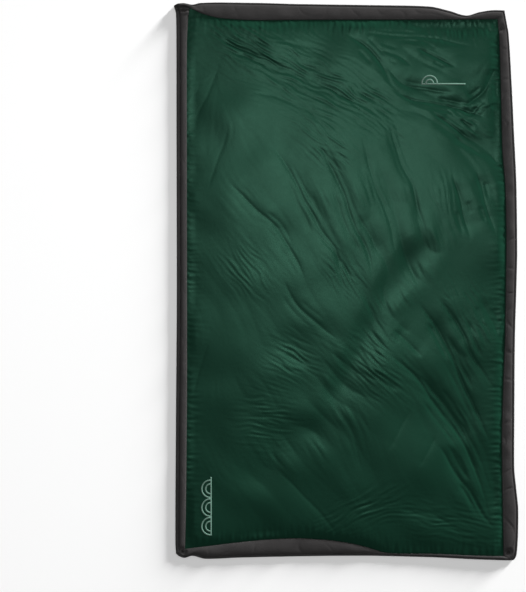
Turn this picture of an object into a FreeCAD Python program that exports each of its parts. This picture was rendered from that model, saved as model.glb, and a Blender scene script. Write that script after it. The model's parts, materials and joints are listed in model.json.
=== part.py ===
"""Camp quilt laid flat: a padded face panel in four border bands, lined, bound and snapped at its corners.

Frame: +Z up, +Y towards the head edge, +X towards the right edge seen from above.
The origin is under the middle of the quilt, on the ground.

The quilt is cut at Y = 0 into a head half and a foot half, because it folds in half there.
Every layer that really runs through is a pair of nodes, one in each half, with the same cross-section.
"""

import FreeCAD
import Part
import Sketcher
import os

doc = FreeCAD.newDocument("camp_quilt")

# ---------------------------------------------------------------- driving dimensions, mm
DIMENSIONS = {
    # plan outline: the left edge is straight, the right edge is drawn in towards both ends
    "half_width": 624,
    "head_right_x": 592,
    "foot_right_x": 612,
    "head_left_y": 1015,
    "head_right_y": 988,
    "foot_left_y": 1000,
    "foot_right_y": 1015,
    "fold_clearance": 0.25,
    # distance from the outer edge to the seam between the bands and the face panel
    "left_band": 42,
    "right_band": 45,
    "head_band_left": 60,
    "head_band_right": 35,
    "foot_band_left": 55,
    "foot_band_right": 24,
    # edge binding: a folded strip that holds the edges of the lining and of the bands
    "binding_width": 9,
    "binding_height": 6,
    "tuck": 6,
    "tuck_height": 2.4,
    # layers
    "cloth": 0.8,
    "layer_gap": 0.1,
    "band_height": 10,
    "band_round": 3,
    "loft": 24,
    "bevel": 16,
    # press studs
    "dimple_radius": 9,
    "seat_height": 5,
    "recess_radius": 6.5,
    "recess_height": 3.5,
    "post_hole_radius": 2.1,
    "cap_radius": 6.2,
    "cap_height": 1.8,
    "cap_round": 1,
    "post_radius": 2,
    "post_reach": 2.3,
    "snap_ground_gap": 0.4,
    "socket_radius": 5.75,
    "socket_bore_radius": 2.8,
    "socket_bore_depth": 2.2,
    "stud_radius": 5.5,
    "stud_height": 1.2,
    "nub_radius": 2.7,
    "nub_height": 2.2,
    "nub_round": 0.6,
    "post_cap_height": 1.2,
    "stud_post_reach": 3.6,
    # heat-transfer prints: concentric arches on a base line
    "film": 0.3,
    "stroke": 5,
    "upper_print_x": 271,
    "upper_print_y": 716,
    "upper_print_length": 160,
    "upper_arch_radius": 30,
    "lower_print_x": -492,
    "lower_print_y": -925,
    "lower_print_length": 213,
    "lower_arch_radius": 34,
    "inner_arch_step": 14,
}

# Centre of each press stud in plan.
SNAPS = {
    "head_right": (564, 923),
    "head_left": (-594, 992),
    "foot_right": (590, -985),
    "foot_left": (-596.5, -981.5),
}

sheet = doc.addObject("Spreadsheet::Sheet", "Dimensions")
for corner_name, (snap_x, snap_y) in SNAPS.items():
    DIMENSIONS[corner_name + "_snap_x"] = snap_x
    DIMENSIONS[corner_name + "_snap_y"] = snap_y
for row, (alias, value) in enumerate(DIMENSIONS.items(), start=1):
    sheet.set(f"A{row}", alias)
    sheet.set(f"B{row}", str(value))
    sheet.setAlias(f"B{row}", alias)
doc.recompute()


def cell(alias):
    """An expression that reads one cell of the sheet."""
    return f"Dimensions.{alias}"


# ---------------------------------------------------------------- plan: rings of corners
EDGES = ("left", "right", "head_left", "head_right", "foot_left", "foot_right")


def ring(insets):
    """Corners of the plan outline drawn in by an expression on each of its edges."""
    x = {
        "left": f"-{cell('half_width')} + {insets['left']}",
        "mid_right": f"{cell('half_width')} - {insets['right']}",
        "head_right": f"{cell('head_right_x')} - {insets['right']}",
        "foot_right": f"{cell('foot_right_x')} - {insets['right']}",
    }
    corners = {}
    for half, sign in (("head", ""), ("foot", "-")):
        fold_y = f"{sign}{cell('fold_clearance')}"
        left_y = f"{sign}({cell(half + '_left_y')} - {insets[half + '_left']})"
        right_y = f"{sign}({cell(half + '_right_y')} - {insets[half + '_right']})"
        corners[half] = {
            "fold_left": (x["left"], fold_y),
            "fold_right": (x["mid_right"], fold_y),
            "end_left": (x["left"], left_y),
            "end_right": (x[half + "_right"], right_y),
        }
    return corners


def even_ring(inset):
    return ring(dict.fromkeys(EDGES, inset))


def seam_insets(extra):
    """Insets of the seam round the face panel, plus a further expression."""
    aliases = ("left_band", "right_band") + tuple(
        f"{end}_band_{side}" for end in ("head", "foot") for side in ("left", "right")
    )
    return {edge: f"{cell(alias)} + {extra}" for edge, alias in zip(EDGES, aliases)}


OUTER = even_ring("0")
TUCKED = even_ring(f"({cell('binding_width')} - {cell('tuck')})")
BOUND = even_ring(cell("binding_width"))
SEAM = ring(seam_insets("0"))
CROWN = ring(seam_insets(cell("bevel")))


def sheet_plan(corners):
    """Plan of a whole half: its four corners, going round."""
    return [corners["fold_left"], corners["fold_right"], corners["end_right"], corners["end_left"]]


def strip_plan(outer, inner, start, end):
    """Plan of a mitred strip between two rings, from one named corner to another."""
    return [outer[start], outer[end], inner[end], inner[start]]


# ---------------------------------------------------------------- sketches and features
def new_body(label):
    body = doc.addObject("PartDesign::Body", label)
    body.Label = label
    return body


def attach(sketch, body, role, level):
    """Puts a sketch on one of the body's own origin planes, lifted to a level."""
    origin_plane = next(f for f in body.Origin.OriginFeatures if f.Role == role)
    sketch.AttachmentSupport = [(origin_plane, "")]
    sketch.MapMode = "FlatFace"
    sketch.setExpression("AttachmentOffset.Base.z", level)


def number(sketch, expression):
    return float(sketch.evalExpression(expression))


def place_point(sketch, line, end, x, y):
    """Dimensions one end of a line from the sketch's origin, by two expressions."""
    for kind, expression in (("DistanceX", x), ("DistanceY", y)):
        value = number(sketch, expression)
        index = sketch.addConstraint(Sketcher.Constraint(kind, -1, 1, line, end, value))
        sketch.setExpression(f"Constraints[{index}]", expression)


def polygon_sketch(body, name, points, level="0", role="XY_Plane"):
    """A closed polygon whose corners are pairs of expressions."""
    sketch = body.newObject("Sketcher::SketchObject", name)
    attach(sketch, body, role, level)
    ends = [FreeCAD.Vector(number(sketch, x), number(sketch, y), 0) for x, y in points]
    count = len(points)
    for i in range(count):
        sketch.addGeometry(Part.LineSegment(ends[i], ends[(i + 1) % count]), False)
    for i in range(count):
        sketch.addConstraint(Sketcher.Constraint("Coincident", i, 2, (i + 1) % count, 1))
    for i, (x, y) in enumerate(points):
        place_point(sketch, i, 1, x, y)
    return sketch


def circle_sketch(body, name, x, y, radius, level):
    """A circle whose centre, radius and level are expressions."""
    sketch = body.newObject("Sketcher::SketchObject", name)
    attach(sketch, body, "XY_Plane", level)
    centre = FreeCAD.Vector(number(sketch, x), number(sketch, y), 0)
    circle = Part.Circle(centre, FreeCAD.Vector(0, 0, 1), number(sketch, radius))
    sketch.addGeometry(circle, False)
    place_point(sketch, 0, 3, x, y)
    index = sketch.addConstraint(Sketcher.Constraint("Radius", 0, circle.Radius))
    sketch.setExpression(f"Constraints[{index}]", radius)
    return sketch


def pad(body, name, sketch, height):
    feature = body.newObject("PartDesign::Pad", name)
    feature.Profile = sketch
    feature.setExpression("Length", height)
    return feature


def cut_down(body, name, sketch, depth):
    """Pockets a sketch downwards, and makes sure that it took something away."""
    doc.recompute()
    before = body.Shape.Volume
    feature = body.newObject("PartDesign::Pocket", name)
    feature.Profile = sketch
    feature.setExpression("Length", depth)
    doc.recompute()
    if body.Shape.Volume >= before:
        raise RuntimeError(f"{name} cuts nothing from {body.Label}")


def loft(body, kind, name, lower, upper):
    feature = body.newObject(f"PartDesign::{kind}", name)
    feature.Profile = lower
    feature.Sections = [upper]
    feature.Ruled = True
    return feature


def round_edges(body, name, radius, wanted):
    """Fillets the edges of the body's last feature that a test picks."""
    doc.recompute()
    base = body.Tip
    edges = [f"Edge{i}" for i, edge in enumerate(base.Shape.Edges, start=1) if wanted(edge)]
    if not edges:
        raise RuntimeError(f"{name} finds no edge on {body.Label}")
    feature = body.newObject("PartDesign::Fillet", name)
    feature.Base = (base, edges)
    feature.setExpression("Radius", radius)
    doc.recompute()


def revolve(body, name, points):
    """Turns a half profile, as (radius, height) expressions, about the body's own Z axis."""
    sketch = polygon_sketch(body, name + "_profile", points, role="XZ_Plane")
    feature = body.newObject("PartDesign::Revolution", name)
    feature.Profile = sketch
    feature.ReferenceAxis = (sketch, ["V_Axis"])
    feature.Angle = 360
    doc.recompute()


# ---------------------------------------------------------------- cloth layers and filling
def lining(half):
    """The back of one half: a flat sheet whose edges reach into the binding."""
    body = new_body(f"lining_{half}")
    outline = polygon_sketch(body, f"lining_{half}_outline", sheet_plan(TUCKED[half]))
    pad(body, f"lining_{half}_sheet", outline, cell("cloth"))
    return body


def insulation(half):
    """The batt of one half: straight sides up to the seam, then a bevel up to the crown."""
    body = new_body(f"insulation_{half}")
    floor = f"{cell('cloth')} + {cell('layer_gap')}"
    shoulder = f"{cell('band_height')} - {cell('cloth')} - {cell('layer_gap')}"
    crown = f"{cell('loft')} - {cell('cloth')} - {cell('layer_gap')}"
    base = polygon_sketch(body, f"batt_{half}_base", sheet_plan(SEAM[half]), floor)
    pad(body, f"batt_{half}_wall", base, f"{shoulder} - ({floor})")
    edge = polygon_sketch(body, f"batt_{half}_shoulder", sheet_plan(SEAM[half]), shoulder)
    top = polygon_sketch(body, f"batt_{half}_crown", sheet_plan(CROWN[half]), crown)
    loft(body, "AdditiveLoft", f"batt_{half}_bevel", edge, top)
    doc.recompute()
    return body


def face_panel(half):
    """The face of one half: a shell of even height over the batt."""
    body = new_body(f"face_panel_{half}")
    hem = f"{cell('band_height')} - {cell('cloth')}"
    crown = f"{cell('loft')} - {cell('cloth')}"
    base = polygon_sketch(body, f"face_{half}_hem", sheet_plan(SEAM[half]), hem)
    pad(body, f"face_{half}_edge", base, cell("cloth"))
    outer_low = polygon_sketch(body, f"face_{half}_low", sheet_plan(SEAM[half]), cell("band_height"))
    outer_high = polygon_sketch(body, f"face_{half}_high", sheet_plan(CROWN[half]), cell("loft"))
    loft(body, "AdditiveLoft", f"face_{half}_outside", outer_low, outer_high)
    doc.recompute()
    full = body.Shape.Volume
    inner_low = polygon_sketch(body, f"face_{half}_inner_low", sheet_plan(SEAM[half]), hem)
    inner_high = polygon_sketch(body, f"face_{half}_inner_high", sheet_plan(CROWN[half]), crown)
    loft(body, "SubtractiveLoft", f"face_{half}_inside", inner_low, inner_high)
    doc.recompute()
    if body.Shape.Volume > full / 2:
        raise RuntimeError(f"face_panel_{half} is not hollow")
    return body


def band(label, half, start, end):
    """A padded border band: a thin edge tucked in the binding and a thick part up to the seam."""
    body = new_body(label)
    floor = f"{cell('cloth')} + {cell('layer_gap')}"
    thick = polygon_sketch(body, f"{label}_plan", strip_plan(BOUND[half], SEAM[half], start, end), floor)
    pad(body, f"{label}_padding", thick, f"{cell('band_height')} - ({floor})")
    round_edges(body, f"{label}_rounding", cell("band_round"), is_long_top_edge)
    tuck = polygon_sketch(body, f"{label}_tuck_plan", strip_plan(TUCKED[half], BOUND[half], start, end), floor)
    pad(body, f"{label}_tuck", tuck, f"{cell('tuck_height')} - ({floor}) - {cell('layer_gap')}")
    doc.recompute()
    return body


def is_long_top_edge(edge):
    """True for the long edges at the top of a band, and not for its mitres."""
    heights = [vertex.Z for vertex in edge.Vertexes]
    return min(heights) > DIMENSIONS["band_height"] - 0.01 and edge.Length > 300


def binding(label, half, start, end):
    """An edge binding: an outer wall with a lip over the tucked edges of the lining and the band."""
    body = new_body(label)
    outline = polygon_sketch(body, f"{label}_plan", strip_plan(OUTER[half], BOUND[half], start, end))
    pad(body, f"{label}_fold", outline, cell("binding_height"))
    slot_plan = strip_plan(TUCKED[half], BOUND[half], start, end)
    slot = polygon_sketch(body, f"{label}_slot_plan", slot_plan, cell("tuck_height"))
    cut_down(body, f"{label}_slot", slot, cell("tuck_height"))
    return body


# ---------------------------------------------------------------- press studs
def seat_snap(corner, lining_body, band_body):
    """Dimples the band at one press stud, bores its post hole and recesses its underside."""
    x, y = cell(f"{corner}_snap_x"), cell(f"{corner}_snap_y")
    cuts = (
        ("dimple", "dimple_radius", "band_height", "seat_height"),
        ("post_hole", "post_hole_radius", "seat_height", "recess_height"),
        ("recess", "recess_radius", "recess_height", None),
    )
    for cut, radius, top, bottom in cuts:
        name = f"{corner}_{cut}"
        circle = circle_sketch(band_body, name + "_circle", x, y, cell(radius), cell(top))
        depth = f"{cell(top)} - {cell(bottom)}" if bottom else cell(top)
        cut_down(band_body, name, circle, depth)
    circle = circle_sketch(lining_body, f"{corner}_lining_circle", x, y, cell("recess_radius"), cell("cloth"))
    cut_down(lining_body, f"{corner}_lining_hole", circle, cell("cloth"))


def at_snap(body, corner, height):
    """Stands a press stud's piece on its corner, at a height."""
    body.setExpression("Placement.Base.x", cell(f"{corner}_snap_x"))
    body.setExpression("Placement.Base.y", cell(f"{corner}_snap_y"))
    body.setExpression("Placement.Base.z", height)


def snap_cap(corner):
    """The round cap on the face side, with the post that goes down through the cloth."""
    body = new_body(f"{corner}_snap_cap")
    edge, post = cell("cap_radius"), cell("post_radius")
    top, bottom = cell("cap_height"), f"-{cell('post_reach')}"
    profile = [("0", bottom), (post, bottom), (post, "0"), (edge, "0"), (edge, top), ("0", top)]
    revolve(body, f"{corner}_cap_turning", profile)
    round_edges(body, f"{corner}_cap_rounding", cell("cap_round"), is_top_rim)
    at_snap(body, corner, cell("seat_height"))


def is_top_rim(edge):
    """True for the circle round the top of a cap or of a nub."""
    tops = (DIMENSIONS["cap_height"], DIMENSIONS["stud_height"] + DIMENSIONS["nub_height"])
    return isinstance(edge.Curve, Part.Circle) and min(abs(edge.Curve.Center.z - top) for top in tops) < 0.01


def snap_socket(corner):
    """The socket under the cap: the post is clinched in its web, and its mouth faces down."""
    body = new_body(f"{corner}_snap_socket")
    low = cell("snap_ground_gap")
    top = f"{cell('recess_height')} - {cell('layer_gap')}"
    web = f"{low} + {cell('socket_bore_depth')}"
    outer, bore, hole = cell("socket_radius"), cell("socket_bore_radius"), cell("post_hole_radius")
    profile = [(bore, low), (outer, low), (outer, top), (hole, top), (hole, web), (bore, web)]
    revolve(body, f"{corner}_socket_turning", profile)
    at_snap(body, corner, "0")


def snap_stud(corner):
    """The stud on the face side: a flange and a nub, hollow below for the post."""
    body = new_body(f"{corner}_snap_stud")
    flange, nub, hole = cell("stud_radius"), cell("nub_radius"), cell("post_hole_radius")
    shoulder = cell("stud_height")
    crown = f"{cell('stud_height')} + {cell('nub_height')}"
    profile = [(hole, "0"), (flange, "0"), (flange, shoulder), (nub, shoulder), (nub, crown), ("0", crown)]
    roof = f"{shoulder} + {cell('layer_gap')}"
    profile += [("0", roof), (hole, roof)]
    revolve(body, f"{corner}_stud_turning", profile)
    round_edges(body, f"{corner}_nub_rounding", cell("nub_round"), is_top_rim)
    at_snap(body, corner, cell("seat_height"))


def snap_post(corner):
    """The back half of the stud: a disc under the cloth with a post up into the stud."""
    body = new_body(f"{corner}_snap_post")
    low = cell("snap_ground_gap")
    disc_top = f"{low} + {cell('post_cap_height')}"
    tip = f"{low} + {cell('post_cap_height')} + {cell('stud_post_reach')}"
    disc, post = cell("stud_radius"), cell("post_radius")
    profile = [("0", low), (disc, low), (disc, disc_top), (post, disc_top), (post, tip), ("0", tip)]
    revolve(body, f"{corner}_post_turning", profile)
    at_snap(body, corner, "0")


# ---------------------------------------------------------------- prints
def half_ring(name, x, radius):
    """An arch standing on the base line: a half disc less a smaller half disc."""
    halves = []
    for part, reach in (("outside", radius), ("inside", f"{radius} - {cell('stroke')}")):
        disc = doc.addObject("Part::Cylinder", f"{name}_{part}")
        disc.Angle = 180
        disc.setExpression("Radius", reach)
        disc.setExpression("Height", cell("film"))
        disc.setExpression("Placement.Base.x", x)
        disc.setExpression("Placement.Base.y", f"{cell('stroke')} * 0.9")
        halves.append(disc)
    arch = doc.addObject("Part::Cut", name)
    arch.Base, arch.Tool = halves
    return arch


def print_film(label, place, length, radius, arches, turn):
    """A base line with pairs of concentric arches along it, laid on the face panel."""
    line = doc.addObject("Part::Box", label + "_line")
    line.setExpression("Length", length)
    line.setExpression("Width", cell("stroke"))
    line.setExpression("Height", cell("film"))
    shapes = [line]
    for i in range(arches):
        x = f"{radius} * {2 * i + 1}"
        shapes.append(half_ring(f"{label}_arch_{i}", x, radius))
        shapes.append(half_ring(f"{label}_inner_arch_{i}", x, f"({radius} - {cell('inner_arch_step')})"))
    film = doc.addObject("Part::MultiFuse", label)
    film.Shapes = shapes
    film.Label = label
    film.Placement = FreeCAD.Placement(FreeCAD.Vector(), FreeCAD.Rotation(FreeCAD.Vector(0, 0, 1), turn))
    for axis, expression in zip("xyz", (*place, cell("loft"))):
        film.setExpression(f"Placement.Base.{axis}", expression)
    doc.recompute()


# ---------------------------------------------------------------- assembly
for half in ("head", "foot"):
    back = lining(half)
    insulation(half)
    face_panel(half)
    left = band(f"left_band_{half}", half, "fold_left", "end_left")
    right = band(f"right_band_{half}", half, "fold_right", "end_right")
    across = band(f"{half}_band", half, "end_left", "end_right")
    binding(f"left_binding_{half}", half, "fold_left", "end_left")
    binding(f"right_binding_{half}", half, "fold_right", "end_right")
    binding(f"{half}_binding", half, "end_left", "end_right")
    seat_snap(f"{half}_right", back, right)
    seat_snap(f"{half}_left", back, across)
    snap_cap(f"{half}_right")
    snap_socket(f"{half}_right")
    snap_stud(f"{half}_left")
    snap_post(f"{half}_left")

upper_place = (cell("upper_print_x"), cell("upper_print_y"))
print_film("upper_print", upper_place, cell("upper_print_length"), cell("upper_arch_radius"), 1, 0)
lower_place = (cell("lower_print_x"), cell("lower_print_y"))
print_film("lower_print", lower_place, cell("lower_print_length"), cell("lower_arch_radius"), 3, 90)

# ---------------------------------------------------------------- checks and export
doc.recompute()
failed = [o.Name for o in doc.Objects if {"Invalid", "Error"} & set(o.State)]
if failed:
    raise RuntimeError(f"these objects failed: {failed}")

pieces = [o for o in doc.Objects if o.TypeId == "PartDesign::Body" or o.Label in ("upper_print", "lower_print")]
os.makedirs("parts", exist_ok=True)
total = 0
for piece in pieces:
    if piece.Shape.isNull() or not piece.Shape.isValid() or len(piece.Shape.Solids) != 1:
        raise RuntimeError(f"{piece.Label} is not one valid solid")
    total += piece.Shape.Volume
    piece.Shape.exportStep(f"parts/{piece.Label}.step")
print(f"{len(pieces)} nodes, {total / 1e9:.5f} cubic metres")
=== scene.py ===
"""Looks of the camp quilt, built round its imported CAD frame.

Shapes are worked out in millimetres of the row frame and become metres when a mesh is made.
Plan positions are pairs (x, y); "along" runs along an edge and "across" from its seam outwards.
"""

import json
import math

import bpy
import numpy as np
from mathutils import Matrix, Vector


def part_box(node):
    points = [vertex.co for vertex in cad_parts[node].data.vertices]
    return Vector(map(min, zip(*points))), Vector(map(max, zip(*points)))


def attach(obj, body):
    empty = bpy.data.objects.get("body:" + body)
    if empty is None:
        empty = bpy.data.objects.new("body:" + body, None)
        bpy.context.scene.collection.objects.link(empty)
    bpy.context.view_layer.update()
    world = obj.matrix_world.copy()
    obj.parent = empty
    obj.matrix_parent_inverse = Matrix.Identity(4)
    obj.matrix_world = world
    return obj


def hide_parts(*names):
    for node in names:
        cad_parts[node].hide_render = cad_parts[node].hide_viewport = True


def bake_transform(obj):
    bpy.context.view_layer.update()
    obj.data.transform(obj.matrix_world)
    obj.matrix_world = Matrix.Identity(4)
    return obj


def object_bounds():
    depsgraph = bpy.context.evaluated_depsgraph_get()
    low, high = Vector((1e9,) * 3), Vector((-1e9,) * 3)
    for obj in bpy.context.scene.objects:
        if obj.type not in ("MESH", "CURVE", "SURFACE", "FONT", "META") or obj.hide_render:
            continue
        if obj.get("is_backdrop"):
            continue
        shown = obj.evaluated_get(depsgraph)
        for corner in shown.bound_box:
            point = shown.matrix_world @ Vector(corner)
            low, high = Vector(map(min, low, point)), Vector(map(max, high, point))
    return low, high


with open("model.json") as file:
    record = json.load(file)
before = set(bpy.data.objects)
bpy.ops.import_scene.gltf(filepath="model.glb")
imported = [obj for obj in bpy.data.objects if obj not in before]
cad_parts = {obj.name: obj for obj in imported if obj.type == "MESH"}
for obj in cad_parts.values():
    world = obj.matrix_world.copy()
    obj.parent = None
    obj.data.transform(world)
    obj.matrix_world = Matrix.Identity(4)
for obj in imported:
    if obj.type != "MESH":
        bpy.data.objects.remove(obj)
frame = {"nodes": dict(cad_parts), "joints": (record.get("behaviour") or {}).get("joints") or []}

MM = 0.001
CAD_LOW, CAD_HIGH = (np.array(corner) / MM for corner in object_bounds())
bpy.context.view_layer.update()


def node_box(name):
    """Lowest and highest corner of a CAD node, in millimetres."""
    return [np.array(corner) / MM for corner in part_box(name)]


# ------ heights and widths
FOLD = frame["joints"][0]["pos_m"]
FOLD_HALF_WIDTH = 32
HIGHEST = FOLD[2] / MM - 1.2
SEAM_HEIGHT = 4.2
EDGE_LOFT = 10
DOME = 11
# How slowly the face panel rises from its left, right, foot and head seams, to its edge loft and to
# its crown; and how much slower it rises at the right of the head seam.
RISE_REACH = (95, 14, 14, 14)
DOME_REACH = (400, 230, 90, 80)
SLOW_HEAD_RISE = 38
# Gathers at the same four seams: the way they run and their height.
SEAM_GATHERS = ((0, 0.5), (0, 0.9), (math.pi / 2, 0.7), (math.pi / 2, 0.9))
LINING_HEIGHT = 0.8
LINING_INSET = 5
HALF_SIZE = np.array([620, 1000])
CLEAR_OF_GROUND = 0.15
BATT_GAP = 0.8
LEAST_BATT = 0.6
# A binding's width, the height of its middle and its half thickness.
BINDING = {"left": (14, 3.9, 3.2), "right": (9, 3.2, 2.5), "head": (8, 3.4, 2.7), "foot": (8, 3.2, 2.5)}
# A band's arch over its seam height, the width at which it is full, and how far its two ends drop.
BAND_RISE = {"left": 4.9, "right": 5.0, "head": 6.0, "foot": 4.9}
FULL_BAND_WIDTH = 26
BAND_END_DROP = 1.6
BAND_UNDERSIDE = 1.5
LEAST_BAND = 0.5

# ------ plan outline
# The laid quilt's corners, as steps in from the corners of its flat outline.
LEFT_X, RIGHT_END_X = node_box("head_binding")[0][0], node_box("head_binding")[1][0]
CORNERS = {
    "head_left": np.array([LEFT_X - 6, node_box("head_binding")[1][1] - 11]),
    "head_right": np.array([RIGHT_END_X - 17, node_box("right_binding_head")[1][1] - 1]),
    "foot_left": np.array([LEFT_X + 2, node_box("left_binding_foot")[0][1] + 9]),
    "foot_right": np.array([node_box("foot_binding")[1][0] - 4, CAD_LOW[1]]),
}
# The face panel's corners, as steps in from the same places.
SEAM_CORNERS = {
    "head_left": CORNERS["head_left"] + (59, -7),
    "head_right": CORNERS["head_right"] + (-26, -32),
    "foot_left": CORNERS["foot_left"] + (33, 17),
    "foot_right": CORNERS["foot_right"] + (-37, 15),
}
# Each side: its two corners, the way out, and how far the outer edge and the seam wander
# outwards, as (share of the way, millimetres).
SIDES = {
    "left": {
        "ends": ("foot_left", "head_left"),
        "out": (-1, 0),
        "outer": [(0, 0), (0.02, 2), (0.25, -2), (0.5, -7), (0.75, -8), (0.95, -9), (0.985, -8), (1, 0)],
        "seam": [(0, 0), (0.06, -2), (0.25, -2), (0.5, 2), (0.75, 7), (0.93, 10), (0.98, 6), (1, 0)],
    },
    "right": {
        "ends": ("foot_right", "head_right"),
        "out": (1, 0),
        "outer": [
            (0, 0), (0.006, 9), (0.016, 13), (0.05, 18), (0.09, 20), (0.13, 14), (0.17, 8), (0.25, 11),
            (0.4, 18), (0.5, 27), (0.57, 32), (0.67, 33), (0.78, 27), (0.86, 22), (0.96, 13), (0.972, 9),
            (0.984, 5), (0.993, 2), (1, 0),
        ],
        "seam": [
            (0, 0), (0.2, -2), (0.3, 4), (0.42, 15), (0.5, 19), (0.6, 23), (0.68, 22), (0.76, 12),
            (0.87, 9), (0.97, 5), (1, 0),
        ],
    },
    "head": {
        "ends": ("head_left", "head_right"),
        "out": (0, 1),
        "outer": [
            (0, 0), (0.012, 8), (0.028, 10), (0.055, 5), (0.08, 12), (0.15, 15), (0.26, 15), (0.38, 13),
            (0.53, 13), (0.7, 13), (0.77, 11), (0.83, -3), (0.885, -20), (0.925, -7), (0.96, 0), (0.98, 1),
            (0.993, 0.6), (1, 0),
        ],
        "seam": [(0, 0), (0.04, -20), (0.1, -34), (0.18, -37), (0.35, -30), (0.5, -23), (0.78, -11), (1, 0)],
    },
    "foot": {
        "ends": ("foot_left", "foot_right"),
        "out": (0, -1),
        "outer": [
            (0, 0), (0.01, 10), (0.025, 15), (0.048, 7), (0.088, 17), (0.19, 10), (0.37, 1), (0.5, -4),
            (0.6, -6), (0.75, -5), (0.9, 0), (0.99, 1), (1, 0),
        ],
        "seam": [
            (0, 0), (0.07, -12), (0.14, -24), (0.27, -42), (0.36, -48), (0.44, -45), (0.52, -34),
            (0.575, -20), (0.62, -6), (0.68, -2), (0.77, -4), (0.93, 0), (1, 0),
        ],
    },
}


def wander(points, share):
    """A smooth curve through (share, value) points, level where it turns back."""
    xs, ys = (np.array(column, float) for column in zip(*points))
    slopes = np.diff(ys) / np.diff(xs)
    tangents = np.zeros(len(xs))
    same_way = slopes[1:] * slopes[:-1] > 0
    mean = 2 * slopes[1:] * slopes[:-1] / np.where(same_way, slopes[1:] + slopes[:-1], 1)
    tangents[1:-1] = np.where(same_way, mean, 0)
    tangents[0], tangents[-1] = slopes[0], slopes[-1]
    i = np.clip(np.searchsorted(xs, share, side="right") - 1, 0, len(xs) - 2)
    run = xs[i + 1] - xs[i]
    t = np.clip((share - xs[i]) / run, 0, 1)
    start = (2 * t**3 - 3 * t**2 + 1) * ys[i] + (t**3 - 2 * t**2 + t) * run * tangents[i]
    end = (3 * t**2 - 2 * t**3) * ys[i + 1] + (t**3 - t**2) * run * tangents[i + 1]
    return start + end


def edge_line(side, which, share):
    """Plan points of one side's outer edge or seam, at shares of the way along it."""
    share = np.asarray(share, float)
    corners = CORNERS if which == "outer" else SEAM_CORNERS
    start, end = (corners[name] for name in SIDES[side]["ends"])
    out = np.array(SIDES[side]["out"], float)
    off = wander(SIDES[side][which], share)
    return start + (end - start) * share[..., None] + out * off[..., None]


def patch(which, u, v):
    """Coons patch filled from the four sides: u across from left to right, v from foot to head."""
    u, v = np.meshgrid(u, v)
    left, right = edge_line("left", which, v), edge_line("right", which, v)
    foot, head = edge_line("foot", which, u), edge_line("head", which, u)
    u, v = u[..., None], v[..., None]
    corners = CORNERS if which == "outer" else SEAM_CORNERS
    low = corners["foot_left"] * (1 - u) + corners["foot_right"] * u
    high = corners["head_left"] * (1 - u) + corners["head_right"] * u
    return foot * (1 - v) + head * v + left * (1 - u) + right * u - low * (1 - v) - high * v


def smooth(low, high, value):
    """0 below low, 1 above high, smooth between."""
    t = np.clip((value - low) / (high - low), 0, 1)
    return t * t * (3 - 2 * t)


# ------ raster of the face panel's relief
STEP = 3
XS = np.arange(-660, 661, STEP)
YS = np.arange(-1050, 1051, STEP)
X, Y = np.meshgrid(XS.astype(float), YS.astype(float))


def sample(field, x, y):
    """Reads a raster between its points."""
    gx = np.clip((x - XS[0]) / STEP, 0, len(XS) - 1.001)
    gy = np.clip((y - YS[0]) / STEP, 0, len(YS) - 1.001)
    ix, iy = gx.astype(int), gy.astype(int)
    fx, fy = gx - ix, gy - iy
    low = field[iy, ix] * (1 - fx) + field[iy, ix + 1] * fx
    high = field[iy + 1, ix] * (1 - fx) + field[iy + 1, ix + 1] * fx
    return low * (1 - fy) + high * fy


def blur(field, radius):
    """Gaussian blur of a raster, the radius in millimetres."""
    fy = np.fft.fftfreq(field.shape[0], STEP)[:, None]
    fx = np.fft.rfftfreq(field.shape[1], STEP)[None]
    gain = np.exp(-2 * (np.pi * radius) ** 2 * (fx**2 + fy**2))
    return np.fft.irfft2(np.fft.rfft2(field) * gain, field.shape)


def noise(seed, size):
    """Even noise of one size of lump, with a spread of 1."""
    white = np.random.default_rng(seed).standard_normal(X.shape)
    field = blur(white, size * 0.25) - blur(white, size * 0.45)
    return field / field.std()


def comb(field, angle, reach):
    """Draws a raster out along a field of directions, as a brush would."""
    total, weight = field.copy(), 1.0
    step = max(4, reach / 22)
    for way in (1, -1):
        px, py = X.copy(), Y.copy()
        for k in range(1, int(reach / step) + 1):
            turn = sample(angle, px, py)
            px += way * step * np.cos(turn)
            py += way * step * np.sin(turn)
            share = 0.5 + 0.5 * math.cos(math.pi * k * step / reach)
            total += share * sample(field, px, py)
            weight += share
    total /= weight
    return total / total.std()


def spline(points, gap):
    """Points a short gap apart on a smooth curve through the given ones."""
    p = np.array(points, float)
    if len(p) == 2:
        count = max(2, int(np.linalg.norm(p[1] - p[0]) / gap))
        return p[0] + (p[1] - p[0]) * np.linspace(0, 1, count)[:, None]
    p = np.vstack([2 * p[0] - p[1], p, 2 * p[-1] - p[-2]])
    line = []
    for a, b, c, d in zip(p, p[1:], p[2:], p[3:]):
        t = np.arange(0, 1, gap / max(np.linalg.norm(c - b), gap))[:, None]
        square, cube = 2 * a - 5 * b + 4 * c - d, 3 * b - a - 3 * c + d
        line.append(0.5 * (2 * b + (c - a) * t + square * t**2 + cube * t**3))
    return np.vstack(line + [p[-2:-1]])


def run_along(line):
    """Distance along a line of points."""
    return np.concatenate([[0], np.cumsum(np.linalg.norm(np.diff(line, axis=0), axis=-1))])


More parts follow.
